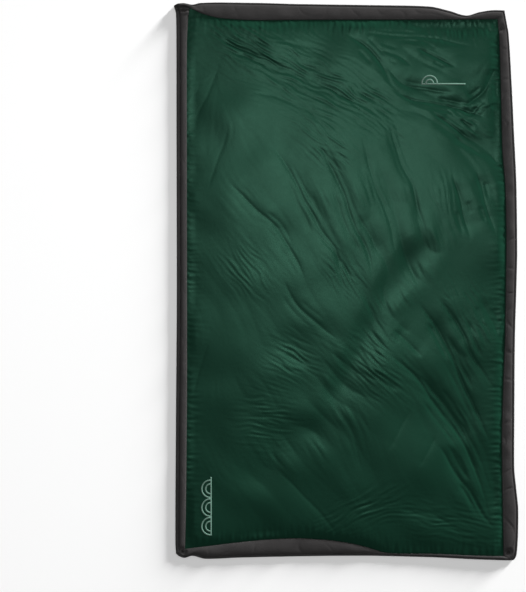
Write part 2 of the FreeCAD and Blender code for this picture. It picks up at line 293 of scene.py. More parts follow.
def from_line(line, x, y):
    """Signed distance from a line, positive on its left, and the share of the way along it."""
    best = np.full(x.shape, 1e9)
    side, share = np.zeros(x.shape), np.zeros(x.shape)
    steps = np.linalg.norm(np.diff(line, axis=0), axis=1)
    run = run_along(line)
    for i, (a, b) in enumerate(zip(line, line[1:])):
        dx, dy = b - a
        t = np.clip(((x - a[0]) * dx + (y - a[1]) * dy) / max(dx * dx + dy * dy, 1e-9), 0, 1)
        ox, oy = x - a[0] - t * dx, y - a[1] - t * dy
        far = np.hypot(ox, oy)
        nearer = far < best
        best = np.where(nearer, far, best)
        side = np.where(nearer, np.sign(dx * oy - dy * ox), side)
        share = np.where(nearer, (run[i] + t * steps[i]) / run[-1], share)
    return best * side, share


# A crease's steep side as a share of its soft side, the width of its sharp bottom, and what the soft
# and the sharp part each take of its depth.
STEEP_SIDE = 0.42
SLIT_WIDTH = 3
BILLOW_SHARE = 0.66
SLIT_SHARE = 0.17
# Creases of the face panel: (reach of its soft side, depth, points along it).
CREASES = [
    # fan from the upper left down to the middle
    (44, 3.2, [(-440, 376), (-359, 285), (-268, 204), (-197, 103), (-146, -9)]),
    (46, 3.4, [(-278, 508), (-217, 417), (-156, 305), (-106, 204), (-45, 113), (-4, -29)]),
    (30, 2.2, [(-126, 204), (-65, 123), (-4, 42), (26, -19)]),
    (48, 4.0, [(-111, 528), (-75, 447), (-25, 346), (26, 204), (77, 103), (97, -19)]),
    (24, 2.0, [(36, 245), (87, 163), (127, 82)]),
    (44, 3.0, [(46, 528), (87, 406), (127, 285), (168, 163), (188, 62)]),
    (46, 3.8, [(148, 589), (188, 467), (228, 366), (269, 224), (289, 143)]),
    (40, 4.2, [(380, 386), (421, 265), (451, 143)]),
    (46, 5.2, [(472, 406), (502, 285), (543, 163)]),
    (40, 2.6, [(-236, 5), (-190, -78), (-110, -150), (-30, -222)]),
    (26, 1.6, [(-230, -262), (-127, -312)]),
    # from the middle down to the lower right
    (26, 2.6, [(168, -177), (215, -213), (278, -276)]),
    (46, 5.6, [(137, -247), (241, -338), (345, -479), (441, -622), (482, -723), (522, -865)]),
    (24, 4.2, [(256, -338), (319, -406), (376, -479), (428, -573), (460, -625)]),
    (50, 7.0, [(259, -75), (320, -160), (366, -245), (408, -328), (449, -427), (481, -500), (527, -593)]),
    (40, 4.6, [(340, -55), (401, -147), (441, -238), (501, -341), (548, -396)]),
    (30, 3.4, [(482, -55), (522, -136), (556, -227)]),
    (24, 2.0, [(85, -328), (137, -370), (194, -401)]),
    (40, 4.4, [(329, -592), (401, -703), (482, -825), (543, -906)]),
    # rays from the upper left corner
    (42, 3.2, [(-511, 913), (-369, 842), (-237, 781), (-95, 720), (36, 650), (137, 599)]),
    (30, 2.4, [(-470, 882), (-328, 801), (-237, 731), (-116, 670)]),
    (30, 2.0, [(-300, 905), (-150, 850), (-20, 790)]),
    (30, 1.8, [(-345, 690), (-178, 640), (-60, 560)]),
    # upper right
    (50, 6.4, [(-4, 903), (56, 862), (117, 801), (168, 710)]),
    (56, 8.0, [(160, 700), (250, 658), (350, 640), (441, 622), (510, 596)]),
    (62, 8.6, [(300, 622), (401, 548), (492, 487), (552, 417)]),
    (30, 3.0, [(413, 600), (430, 575), (470, 548)]),
    (44, 6.4, [(250, 850), (325, 815), (400, 776)]),
    (26, 3.4, [(420, 632), (449, 612), (485, 645)]),
    (56, 6.4, [(430, 640), (500, 700), (548, 790)]),
    (44, 4.4, [(60, 900), (190, 892), (320, 878), (450, 858)]),
    (36, 3.6, [(110, 845), (180, 825), (240, 780)]),
    (48, 4.8, [(150, 775), (205, 715), (290, 700), (400, 688)]),
    (30, 4.0, [(562, 800), (549, 690), (556, 560)]),
    # faint straight ones left from packing
    (36, 1.0, [(142, -625), (189, -541), (236, -458)]),
    (36, 1.0, [(262, -682), (293, -619), (329, -552)]),
    (30, 0.8, [(-560, 560), (-515, 670), (-466, 793)]),
    (34, 0.9, [(-506, 337), (-460, 450), (-426, 570)]),
    (44, 1.2, [(-560, -420), (-540, -320), (-495, -213)]),
    # lower left, long and shallow
    (60, 1.8, [(-258, -680), (-140, -800), (-25, -928)]),
    (50, 1.6, [(-60, -430), (20, -560), (60, -700)]),
    (40, 1.6, [(180, -820), (300, -850), (430, -905)]),
]
# Patches of short ripples: (middle, reach across and along the ripples, way they run in degrees, height).
RIPPLES = [
    ((-356, 44), (80, 90), -52, 0.5),
    ((-198, -280), (90, 80), -30, 0.62),
    ((-294, -500), (80, 90), -6, 0.62),
    ((110, -315), (90, 110), -42, 0.85),
    ((-15, 30), (50, 80), -55, 0.9),
    ((360, 310), (60, 70), -75, 0.8),
    ((-70, 500), (70, 110), -42, 0.9),
    ((-180, 760), (110, 230), -27, 1.15),
    ((80, 640), (70, 120), -35, 1.1),
    ((373, -880), (60, 190), -10, 0.65),
    ((30, -850), (60, 150), 30, 0.6),
    ((420, 915), (150, 40), -86, 1.0),
    ((60, 930), (150, 30), -88, 0.7),
    ((430, 590), (70, 90), -35, 0.9),
    ((-410, 880), (70, 110), -32, 0.95),
    ((450, -120), (70, 120), -58, 0.7),
]


def crease_height(soft_reach, depth, points, x, y):
    """One crease: steep on the right of its line and soft on the left, narrowing and fading to its ends."""
    line = spline(points, 16)
    length = np.linalg.norm(np.diff(line, axis=0), axis=1).sum()
    across, share = from_line(line, x, y)
    fade = smooth(0, 0.25, share) * smooth(0, 0.3, 1 - share)
    reach = min(soft_reach, 0.2 * length) * (0.25 + 0.75 * fade) * np.where(across > 0, 1, STEEP_SIDE)
    billow = np.exp(-np.abs(across) / reach)
    slit = np.exp(-((across / (SLIT_WIDTH + 1.5 * fade)) ** 2))
    return -depth * np.sqrt(fade) * (BILLOW_SHARE * np.sqrt(fade) * billow + SLIT_SHARE * slit)


# Broad hollows, as (reach, depth, points): across the middle, under the head seam, beside the right
# seam, and at the lower left.
HOLLOWS = [
    (56, 5.4, [(-178, -665), (15, -323), (125, -75), (318, 173), (402, 257)]),
    (30, 3.0, [(60, 950), (300, 930), (470, 926), (620, 930)]),
    (24, 5.0, [(560, 990), (553, 760), (560, 600), (572, 380)]),
    (60, 2.2, [(-330, -800), (-250, -640), (-90, -480)]),
]


def side_creases():
    """Thinner creases beside the strong ones, each along a part of its neighbour."""
    random = np.random.default_rng(7)
    thin = []
    for _, depth, points in CREASES:
        if depth < 2.4:
            continue
        line = spline(points, 24)
        way = np.gradient(line, axis=0)
        way /= np.linalg.norm(way, axis=1, keepdims=True)
        for side in (-1, 1):
            off = side * random.uniform(15, 30)
            start = int(random.uniform(0, 0.45) * len(line))
            count = max(4, int(random.uniform(0.35, 0.6) * len(line)))
            part = slice(start, start + count)
            moved = line[part] + off * way[part, ::-1] * (-1, 1)
            if len(moved) > 2:
                thin.append((20, random.uniform(0.25, 0.45) * depth, moved))
    return thin


def crease_relief(x, y):
    """All the creases together."""
    total = np.zeros(x.shape)
    for reach, depth, points in CREASES + side_creases():
        low, high = np.min(points, axis=0) - 4 * reach, np.max(points, axis=0) + 4 * reach
        rows = (YS > low[1]) & (YS < high[1])
        cols = (XS > low[0]) & (XS < high[0])
        window = np.ix_(rows, cols)
        total[window] += crease_height(reach, depth, points, x[window], y[window])
    for reach, depth, points in HOLLOWS:
        across, share = from_line(spline(points, 60), x, y)
        total -= depth * smooth(0, 0.3, share) * smooth(0, 0.2, 1 - share) * np.exp(-((across / reach) ** 2))
    return total


def ripple_relief(x, y):
    """Short ripples: combed noise, in patches that each have their own way to run."""
    windows, cos2, sin2 = 0, 0, 0
    for (mx, my), (wide, long), degrees, height in RIPPLES:
        run = math.radians(degrees)
        along = (x - mx) * math.cos(run) + (y - my) * math.sin(run)
        across = -(x - mx) * math.sin(run) + (y - my) * math.cos(run)
        window = np.exp(-((across / wide) ** 2) - (along / long) ** 2)
        windows = windows + height * window
        cos2 = cos2 + window * math.cos(2 * run)
        sin2 = sin2 + window * math.sin(2 * run)
    angle = 0.5 * np.arctan2(sin2, cos2) + 0.12 * noise(18, 90)
    short, long = comb(noise(19, 12), angle, 42), comb(noise(20, 14), angle, 120)
    return windows * (0.62 * short + 0.5 * long + 0.3 * np.abs(comb(noise(27, 26), angle, 90)))


def direction_field():
    """The way the wrinkles run everywhere: that of the creases nearby, and square to a seam beside it."""
    coarse_x, coarse_y = X[::12, ::12], Y[::12, ::12]
    cos2, sin2 = np.zeros(coarse_x.shape), np.zeros(coarse_x.shape)
    for _, depth, points in CREASES:
        line = spline(points, 40)
        for a, b in zip(line, line[1:]):
            middle, way = (a + b) / 2, 2 * math.atan2(b[1] - a[1], b[0] - a[0])
            near = depth / (900 + (coarse_x - middle[0]) ** 2 + (coarse_y - middle[1]) ** 2) ** 1.3
            cos2 += near * math.cos(way)
            sin2 += near * math.sin(way)
    angle = 0.5 * np.arctan2(sin2, cos2)
    cos2, sin2 = np.cos(2 * angle), np.sin(2 * angle)
    rows, cols = (np.clip(axis / STEP / 12, 0, count - 1.001) for axis, count in (
        (Y - YS[0], coarse_x.shape[0]), (X - XS[0], coarse_x.shape[1])))
    r, c = rows.astype(int), cols.astype(int)
    fr, fc = rows - r, cols - c

    def finer(field):
        low = field[r, c] * (1 - fc) + field[r, c + 1] * fc
        high = field[r + 1, c] * (1 - fc) + field[r + 1, c + 1] * fc
        return low * (1 - fr) + high * fr

    return 0.5 * np.arctan2(finer(sin2), finer(cos2))


def inside_distances(x, y):
    """Distance in from the left, right, foot and head seams."""
    share = np.linspace(0, 1, 400)
    left, right, foot, head = (edge_line(side, "seam", share) for side in ("left", "right", "foot", "head"))
    return (
        x - np.interp(y, left[:, 1], left[:, 0]),
        np.interp(y, right[:, 1], right[:, 0]) - x,
        y - np.interp(x, foot[:, 0], foot[:, 1]),
        np.interp(x, head[:, 0], head[:, 1]) - y,
    )


def soft_least(distances, softness):
    """The least of several distances, rounded where two are alike."""
    return -softness * np.log(sum(np.exp(-np.clip(d, -60, 2000) / softness) for d in distances))


def swelling(distances, reaches):
    """0 at the seams and towards 1 inside, over its own reach from each seam."""
    return np.prod([1 - np.exp(-np.maximum(d, 0) / r) for d, r in zip(distances, reaches)], axis=0)


def face_relief():
    """Height of the face panel over the ground, as a raster."""
    drift_x, drift_y = noise(11, 150), noise(12, 150)
    x, y = X + 2.5 * drift_x + 0.3 * noise(14, 60), Y + 2.5 * drift_y + 0.3 * noise(15, 60)
    distances = inside_distances(X, Y)
    inner = np.maximum(soft_least(distances, 14), 0)
    angle = direction_field()

    creases = crease_relief(x, y)
    ripples = ripple_relief(x, y)
    busy = np.clip(blur(np.abs(creases), 40) / 2.2, 0.15, 1)
    patchy = np.clip(0.5 + 0.6 * noise(24, 190), 0, 1.4)

    billows = np.abs(comb(noise(21, 130), angle, 200))
    pleats = np.abs(comb(noise(22, 46), angle, 100))
    fine_wrinkles = comb(noise(23, 15), angle, 50)
    crinkle = -np.abs(comb(noise(25, 16), angle, 12))

    wrinkles = busy * (billows + 0.4 * patchy * pleats + 0.09 * patchy * fine_wrinkles) + 0.03 * crinkle
    seam_pucker = sum(
        comb(noise(31 + i, 17), np.full(X.shape, way), 40) * np.exp(-np.maximum(d, 0) / 20) * gather
        for i, (d, (way, gather)) in enumerate(zip(distances, SEAM_GATHERS))
    )
    swell = 1.7 * noise(41, 420) + 0.9 * noise(42, 190)
    slow_head = SLOW_HEAD_RISE * smooth(150, 400, X)
    rise_reaches = (*RISE_REACH[:3], RISE_REACH[3] + slow_head)
    rise = swelling(distances, rise_reaches) ** 0.85
    dome = swelling(distances, DOME_REACH)
    settle = smooth(0, 34, inner)
    height = SEAM_HEIGHT + (EDGE_LOFT - SEAM_HEIGHT) * rise + DOME * dome
    height += settle * (0.8 * swell + creases + 0.62 * ripples + wrinkles) + smooth(0, 8, inner) * seam_pucker
    lowest = SEAM_HEIGHT - 2 + 3.5 * rise
    height = np.where(height < lowest + 2, lowest + 2 * np.exp((height - lowest - 2) / 2), height)
    return np.where(height > HIGHEST - 4, HIGHEST - 4 * np.exp(-(height - HIGHEST + 4) / 4), height)


def lowest_near(field, reach):
    """The lowest value within reach of each point of a raster."""
    steps = round(reach / STEP)
    for axis in (0, 1):
        rolled = [np.roll(field, k, axis) for k in range(-steps, steps + 1)]
        field = np.minimum.reduce(rolled)
    return field


def smooth_under(field):
    """A smooth surface that stays below a creased one, so that a coarser mesh can't poke through it."""
    return blur(lowest_near(field, 15), 6)


FACE = face_relief()
UNDER_FACE = smooth_under(FACE)

# ------ press studs' dimples and the curled corner
SNAP_CENTRES = [
    (node_box(name)[0][:2] + node_box(name)[1][:2]) / 2
    for name in ("head_right_snap_cap", "head_left_snap_stud", "foot_right_snap_cap", "foot_left_snap_stud")
]
SEAT_HEIGHT = node_box("head_right_snap_cap")[1][2] - 2.1


def dimple(points):
    """Presses a surface down to the seats of the press studs."""
    for centre in SNAP_CENTRES:
        away = np.hypot(points[..., 0] - centre[0], points[..., 1] - centre[1])
        seat = np.minimum(points[..., 2], SEAT_HEIGHT)
        points[..., 2] = seat + (points[..., 2] - seat) * smooth(7.5, 18, away)
    return points


def curl(points):
    """Ruffles the head left corner: the edge stands up in two lobes with the press stud between them."""
    corner = CORNERS["head_left"] + (34, -6)
    near = np.exp(-(((points[..., 0] - corner[0]) / 40) ** 2) - ((points[..., 1] - corner[1]) / 20) ** 2)
    lobes = -np.cos(2 * math.pi * (points[..., 1] - corner[1] + 4) / 30)
    top = smooth(2, 6, points[..., 2])
    points[..., 2] += 5.5 * near * (lobes + 0.6) * top
    return points


# ------ meshes
# Steps between mesh points: across most of a piece, beside the fold, and near its left and right edges.
FACE_STEPS = (3.9, 2.4, 3)
BATT_STEPS = (14, 4, 6)
LINING_STEPS = (6, 2.2, 3)
BAND_STEP, BINDING_STEP, STITCH_LINE_STEP = 4, 5, 2
EDGE_WIDTH = 18


def place(name, data):
    """A new object in the scene."""
    thing = bpy.data.objects.new(name, data)
    bpy.context.scene.collection.objects.link(thing)
    return thing


def make_mesh(name, points, faces, cloth):
    """A mesh object from points in millimetres, with cloth coordinates in metres for its weave."""
    mesh = bpy.data.meshes.new(name)
    flat = np.array(points, float).reshape(-1, 3)
    flat[:, 2] = np.maximum(flat[:, 2], CLEAR_OF_GROUND)
    flat *= MM
    faces = np.asarray(faces, int)
    mesh.vertices.add(len(flat))
    mesh.vertices.foreach_set("co", flat.ravel())
    mesh.loops.add(faces.size)
    mesh.loops.foreach_set("vertex_index", faces.ravel())
    mesh.polygons.add(len(faces))
    mesh.polygons.foreach_set("loop_start", np.arange(len(faces)) * faces.shape[1])
    mesh.polygons.foreach_set("use_smooth", np.full(len(faces), True))
    layer = mesh.uv_layers.new(name="cloth")
    layer.data.foreach_set("uv", (np.asarray(cloth, float).reshape(-1, 2)[faces.ravel()] * MM).ravel())
    mesh.update(calc_edges=True)
    mesh.validate()
    return place(name, mesh)


def grid_faces(rows, cols, closed=False, upward=True):
    """Quads of a grid of points, closed round its columns if asked."""
    index = np.arange(rows * cols).reshape(rows, cols)
    if closed:
        index = np.hstack([index, index[:, :1]])
    quads = np.stack([index[:-1, :-1], index[:-1, 1:], index[1:, 1:], index[1:, :-1]], axis=-1).reshape(-1, 4)
    return quads if upward else quads[:, ::-1]


def shares_along(start, end, gap, fold_gap):
    """Shares of the way from start to end along Y, closer together beside the fold."""
    bend = FOLD_HALF_WIDTH + 10
    stops = [start, -bend, bend, end] if start < -bend and end > bend else [start, end]
    gaps = [gap, fold_gap, gap] if len(stops) == 4 else [gap]
    runs = []
    for a, b, step in zip(stops, stops[1:], gaps):
        runs.append(np.linspace(a, b, max(2, round((b - a) / step)), endpoint=False))
    return (np.concatenate(runs + [[end]]) - start) / (end - start)


def shares_across(length, gap, edge_gap):
    """Even shares of the way across, closer together at both ends."""
    edge = np.arange(0, EDGE_WIDTH, edge_gap)
    middle = np.linspace(EDGE_WIDTH, length - EDGE_WIDTH, round((length - 2 * EDGE_WIDTH) / gap) + 1)
    return np.concatenate([edge, middle, length - edge[::-1]]) / length


# ------ materials
def principled(name, colour, roughness, **constants):
    """A new material and its shader, with constants set on the shader's own sockets."""
    material = bpy.data.materials.new(name)
    material.use_nodes = True
    shader = material.node_tree.nodes["Principled BSDF"]
    shader.inputs["Base Color"].default_value = (*colour, 1)
    shader.inputs["Roughness"].default_value = roughness
    for socket, value in constants.items():
        shader.inputs[socket.replace("_", " ")].default_value = value
    return material, shader


def add_node(material, kind, links=None, **values):
    """A node with some inputs linked and some set."""
    node = material.node_tree.nodes.new("ShaderNode" + kind)
    for key, value in values.items():
        if key in node.inputs:
            node.inputs[key].default_value = value
        else:
            setattr(node, key, value)
    for key, output in (links or {}).items():
        material.node_tree.links.new(output, node.inputs[key])
    return node


def cloth_coordinates(material):
    return add_node(material, "UVMap", uv_map="cloth").outputs["UV"]


def lumps(material, coordinates, scale, detail=3.0, roughness=0.55):
    """Noise of a given number of lumps to the metre."""
    return add_node(
        material, "TexNoise", {"Vector": coordinates}, Scale=scale, Detail=detail, Roughness=roughness
    ).outputs["Fac"]


def weave(material, coordinates, pitch, twist):
    """A plain weave: over and under threads both ways, a pitch apart in metres."""
    parts = []
    for direction in ("X", "Y"):
        parts.append(add_node(
            material, "TexWave", {"Vector": coordinates}, bands_direction=direction,
            Scale=math.pi / 10 / pitch, Distortion=twist, Detail=1.0,
        ).outputs["Fac"])
    return add_node(material, "Math", {0: parts[0], 1: parts[1]}, operation="MULTIPLY").outputs["Value"]


def remap(material, value, low, high):
    """Stretches the middle half of 0 to 1 from low to high."""
    limits = {"From Min": 0.25, "From Max": 0.75, "To Min": low, "To Max": high}
    return add_node(material, "MapRange", {"Value": value}, **limits).outputs["Result"]


def bump(material, height, distance, strength, before=None):
    links = {"Height": height}
    if before is not None:
        links["Normal"] = before
    return add_node(material, "Bump", links, Distance=distance, Strength=strength).outputs["Normal"]


def mix_colours(material, share, first, second):
    node = add_node(material, "Mix", data_type="RGBA")
    colours = [socket for socket in node.inputs if socket.type == "RGBA"]
    colours[0].default_value = (*first, 1)
    colours[1].default_value = (*second, 1)
    material.node_tree.links.new(share, node.inputs["Factor"])
    return next(socket for socket in node.outputs if socket.type == "RGBA")


def plug(material, shader, **outputs):
    """Links outputs to the shader's own sockets."""
    for socket, output in outputs.items():
        material.node_tree.links.new(output, shader.inputs[socket.replace("_", " ")])


def woven(name, dark, light, roughness, pitch, weave_bump, crinkle_bump, uneven=0.04, **constants):
    """Woven cloth: two tones by weave and by wear, uneven gloss, weave and fine crinkles in its bump."""
    material, shader = principled(name, dark, roughness, **constants)
    at = cloth_coordinates(material)
    threads = weave(material, at, pitch, 0.4)
    cloudy = lumps(material, at, 5.5, 4.0)
    tone = add_node(material, "Math", {0: cloudy, 1: threads}, operation="MULTIPLY_ADD")
    tone.inputs[2].default_value = 0.12
    colour = mix_colours(material, tone.outputs["Value"], dark, light)
    gloss = remap(material, lumps(material, at, 38), roughness - uneven, roughness + uneven)
    fine = bump(material, threads, pitch * 0.35, weave_bump)
    crinkles = lumps(material, at, 95, 5.0, 0.62)
    relief = bump(material, crinkles, 0.0022, crinkle_bump, fine)
    plug(material, shader, Base_Color=colour, Roughness=gloss, Normal=relief)
    return material


def make_materials():
    return {
        "face_fabric": woven(
            "face_taffeta", (0.0036, 0.0192, 0.0112), (0.0048, 0.0250, 0.0148), 0.345, 0.0006, 0.12, 0.035,
            uneven=0.012, Specular_IOR_Level=0.14, Specular_Tint=(0.38, 1.0, 0.70, 1),
        ),
        "band_fabric": woven(
            "band_taslan", (0.019, 0.018, 0.018), (0.031, 0.0295, 0.0295), 0.6, 0.0009, 0.3, 0.2,
            Specular_IOR_Level=0.2,
        ),
        "lining_fabric": woven(
            "lining_taffeta", (0.02, 0.0197, 0.02), (0.032, 0.0315, 0.032), 0.55, 0.0006, 0.25, 0.3,
            Specular_IOR_Level=0.2,
        ),
        "binding": woven(
            "binding_tape", (0.012, 0.0115, 0.0115), (0.021, 0.020, 0.020), 0.55, 0.0012, 0.6, 0.2,
            Specular_IOR_Level=0.25,
        ),
        "insulation": woven(
            "batting", (0.72, 0.71, 0.68), (0.86, 0.85, 0.83), 0.85, 0.004, 0.3, 0.9,
            Specular_IOR_Level=0.2, Sheen_Weight=0.5, Sheen_Roughness=0.6,
        ),
        "print_film": print_material(),
        "snap": snap_material(),
        "thread": thread_material(),
    }


def print_material():
    """Matt transfer film, thinner in places so that it lets a little of the cloth's colour through."""
    material, shader = principled("transfer_film", (0.09, 0.16, 0.13), 0.55, Specular_IOR_Level=0.4)
    at = cloth_coordinates(material)
    worn = lumps(material, at, 260, 6.0, 0.7)
    colour = mix_colours(material, worn, (0.055, 0.11, 0.085), (0.115, 0.2, 0.16))
    plug(material, shader, Base_Color=colour, Normal=bump(material, worn, 0.0004, 0.4))
    return material


def snap_material():
    """Black oxide brass: satin, with uneven gloss and warmer where it rubs."""
    material, shader = principled(
        "black_oxide", (0.006, 0.006, 0.006), 0.5, Metallic=0.2, Specular_IOR_Level=0.2
    )
    at = add_node(material, "TexCoord").outputs["Object"]
    worn = remap(material, lumps(material, at, 900, 4.0), 0, 0.5)
    colour = mix_colours(material, worn, (0.003, 0.003, 0.0033), (0.012, 0.011, 0.009))
    gloss = remap(material, lumps(material, at, 420), 0.45, 0.62)
    plug(material, shader, Base_Color=colour, Roughness=gloss)
    return material


def thread_material():
    """Twisted polyester thread."""
    material, shader = principled("thread", (0.02, 0.02, 0.02), 0.5, Sheen_Weight=0.3)
    at = cloth_coordinates(material)
    ply = add_node(
        material, "TexWave", {"Vector": at}, bands_direction="DIAGONAL", Scale=400.0, Detail=0.0
    ).outputs["Fac"]
    colour = mix_colours(material, ply, (0.012, 0.012, 0.012), (0.035, 0.034, 0.034))
    plug(material, shader, Base_Color=colour, Normal=bump(material, ply, 0.0002, 0.6))
    return material


MATERIALS = make_materials()


def finish_piece(thing, slot, body=None):
    """Gives a piece the material for its slot, and rides it on one body or, without one, bakes its placement
    into its mesh.
    """
    thing.data.materials.clear()
    thing.data.materials.append(MATERIALS[slot])
    if body:
        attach(thing, body)
    else:
        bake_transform(thing)


def halves(stem):
    return f"{stem}_head", f"{stem}_foot"


# ------ face panel, batt and lining
SEAM_WIDTH = SEAM_CORNERS["foot_right"][0] - SEAM_CORNERS["foot_left"][0]
OVERHANG = 9


def face_height(x, y):
    return sample(FACE, x, y)


def make_face_panel():
    """The dark green face: its edge turns down into the seam, and hangs over the foot band at the right."""
    step, fold_step, edge_step = FACE_STEPS
    v = shares_along(SEAM_CORNERS["foot_left"][1], SEAM_CORNERS["head_left"][1], step, fold_step)
    u = shares_across(SEAM_WIDTH, step, edge_step)
    plan = patch("seam", u, v)
    x, y = plan[..., 0], plan[..., 1]
    z = face_height(x, y)
    from_foot = y - edge_line("foot", "seam", u)[None, :, 1]
    hang = OVERHANG * smooth(70, 150, x) * smooth(0, 5, from_foot) * np.exp(-(from_foot / 14) ** 2)
    points = dimple(np.stack([x, y - hang, z], axis=-1))
    panel = make_mesh("face_panel", points, grid_faces(*x.shape), plan)
    finish_piece(panel, "face_fabric")
    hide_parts(*halves("face_panel"))
    area = polygon_area("seam")


def polygon_area(which):
    """Area inside an outline, in square metres."""
    share = np.linspace(0, 1, 200)
    round_it = [edge_line(side, which, share) for side in ("foot", "right", "head", "left")]
    round_it[2], round_it[3] = round_it[2][::-1], round_it[3][::-1]
    x, y = np.vstack(round_it).T
    return float(abs(np.dot(x, np.roll(y, -1)) - np.dot(y, np.roll(x, -1))) / 2 * MM**2)


def make_batt():
    """The insulation batt: a closed pad that fills the space between the face panel and the lining."""
    step, fold_step, edge_step = BATT_STEPS
    v = shares_along(SEAM_CORNERS["foot_left"][1], SEAM_CORNERS["head_left"][1], step, fold_step)[1:-1]
    u = shares_across(SEAM_WIDTH, step, edge_step)[2:-2]
    plan = patch("seam", u, v)
    top = sample(UNDER_FACE, plan[..., 0], plan[..., 1]) - BATT_GAP
    low = sample(OVER_LINING, plan[..., 0], plan[..., 1]) + 2 * BATT_GAP
    low = np.minimum(low, top - LEAST_BATT)
    rows, cols = top.shape
    upper = np.dstack([plan, top])
    lower = np.dstack([plan, low])
    faces = [grid_faces(rows, cols), grid_faces(rows, cols, upward=False) + rows * cols]
    index = np.arange(rows * cols).reshape(rows, cols)
    rim = np.concatenate([index[0, :-1], index[:-1, -1], index[-1, :0:-1], index[:0:-1, 0]])
    after = np.roll(rim, -1)
    faces.append(np.stack([rim, rim + rows * cols, after + rows * cols, after], axis=-1))
    points = np.concatenate([upper.reshape(-1, 3), lower.reshape(-1, 3)])
    cloth = np.concatenate([plan.reshape(-1, 2)] * 2)
    batt = make_mesh("insulation_batt", points, np.concatenate(faces), cloth)
    finish_piece(batt, "insulation")
    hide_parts(*halves("insulation"))


def lining_relief():
    """How far the lining is creased up into the quilt, as a raster."""
    angle = -direction_field()
    long = comb(noise(51, 55), angle, 150)
    folds = comb(noise(52, 75), angle, 190)
    sharp = np.exp(-((folds / 0.2) ** 2))
    depth = 0.5 + 0.2 * long + 0.8 * sharp + 0.4 * noise(53, 260)
    inner = soft_least(inside_distances(X, Y), 20)
    return np.maximum(depth, 0) * smooth(5, 60, inner)


LINING = lining_relief()
OVER_LINING = LINING_HEIGHT - smooth_under(-LINING)


def lining_height(x, y):
    return LINING_HEIGHT + sample(LINING, x, y)


def make_lining():
    """The charcoal back: one sheet from binding to binding, lying on the ground."""
    step, fold_step, edge_step = LINING_STEPS
    v = shares_along(CORNERS["foot_left"][1], CORNERS["head_left"][1], step, fold_step)
    u = shares_across(CORNERS["foot_right"][0] - CORNERS["foot_left"][0], step, edge_step)
    plan = patch("outer", u, v)
    middle = plan.mean(axis=(0, 1))
    plan = middle + (plan - middle) * (1 - LINING_INSET / HALF_SIZE)
    points = np.dstack([plan, lining_height(plan[..., 0], plan[..., 1])])
    lining = make_mesh("lining", points, grid_faces(*points.shape[:2], upward=False), plan)
    finish_piece(lining, "lining_fabric")
    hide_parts(*halves("lining"))
    polygon_area("outer")


# ------ border bands and edge binding
def side_shares(side, gap):
    """Shares along a side for its rows of points."""
    if side in ("left", "right"):
        start, end = (CORNERS[name][1] for name in SIDES[side]["ends"])
        return shares_along(start, end, gap, LINING_STEPS[1])
    start, end = (CORNERS[name][0] for name in SIDES[side]["ends"])
    return np.linspace(0, 1, round(abs(end - start) / gap) + 1)


def bound_edge(side, share):
    """Plan line where the binding's inner edge meets the band."""
    outer, seam = edge_line(side, "outer", share), edge_line(side, "seam", share)
    width = np.linalg.norm(outer - seam, axis=-1, keepdims=True)
    return outer + (seam - outer) * np.minimum(BINDING[side][0] / width, 0.8)


def band_points(side, share, across):
    """Points on top of a band: rows along its shares, columns across from the seam to the binding."""
    seam, bound = edge_line(side, "seam", share)[:, None], bound_edge(side, share)[:, None]
    t = across[None, :, None]
    plan = seam + (bound - seam) * t
    width = np.linalg.norm(bound - seam, axis=-1)
    rise = BAND_RISE[side] * np.minimum(1, width / FULL_BAND_WIDTH)
    arch = np.sqrt(np.clip(1 - (2 * across - 1) ** 2, 0, 1))[None] ** 0.9
    join = SEAM_HEIGHT + 0.6 * across[None]
    x, y = plan[..., 0], plan[..., 1]
    z = join + rise * arch * (1 + 0.10 * sample(SOFT_SWELL, x, y))
    z += arch * pucker(side, x, y)
    ends = smooth(0, 0.012, share) * smooth(0, 0.012, 1 - share)
    z -= (1 - ends)[:, None] * BAND_END_DROP
    return curl(dimple(np.dstack([plan, z])))


def pucker(side, x, y):
    """Small folds square to a band's length, deep on the right band and slight on the left."""
    field, depth = {
        "left": (PUCKER_X, 0.3), "right": (PUCKER_X, 1.0), "head": (PUCKER_Y, 0.45), "foot": (PUCKER_Y, 0.5)
    }[side]
    return depth * sample(field, x, y)


def pucker_field(seed, way):
    """Folds that run one way: a few sharp ones among soft ones."""
    angle = np.full(X.shape, way)
    soft = comb(noise(seed, 60), angle, 42)
    sharp = np.exp(-((comb(noise(seed + 1, 130), angle, 50) / 0.14) ** 2))
    return 0.5 * soft - 1.6 * sharp + 0.4


SOFT_SWELL = noise(61, 130)
PUCKER_X = pucker_field(62, 0.12)
PUCKER_Y = pucker_field(66, math.pi / 2 - 0.1)


def make_band(side, nodes, body=None):
    """A soft band: arched on top, flat below, closed all round."""
    share = side_shares(side, BAND_STEP)
    across = (1 - np.cos(np.linspace(0, math.pi, 19))) / 2
    top = band_points(side, share, across)
    under = top[:, -2:0:-3].copy()
    under[..., 2] = np.minimum(BAND_UNDERSIDE, under[..., 2] - LEAST_BAND)
    loop = np.concatenate([top, under], axis=1)
    along = run_along(loop[:, 0, :2])
    around = np.linspace(0, 90, loop.shape[1])
    cloth = np.stack(np.meshgrid(around, along), axis=-1)
    faces = grid_faces(*loop.shape[:2], closed=True, upward=side in ("right", "foot"))
    band = make_mesh(f"{side}_band_roll", loop, faces, cloth)
    finish_piece(band, "band_fabric", body)
    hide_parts(*nodes)


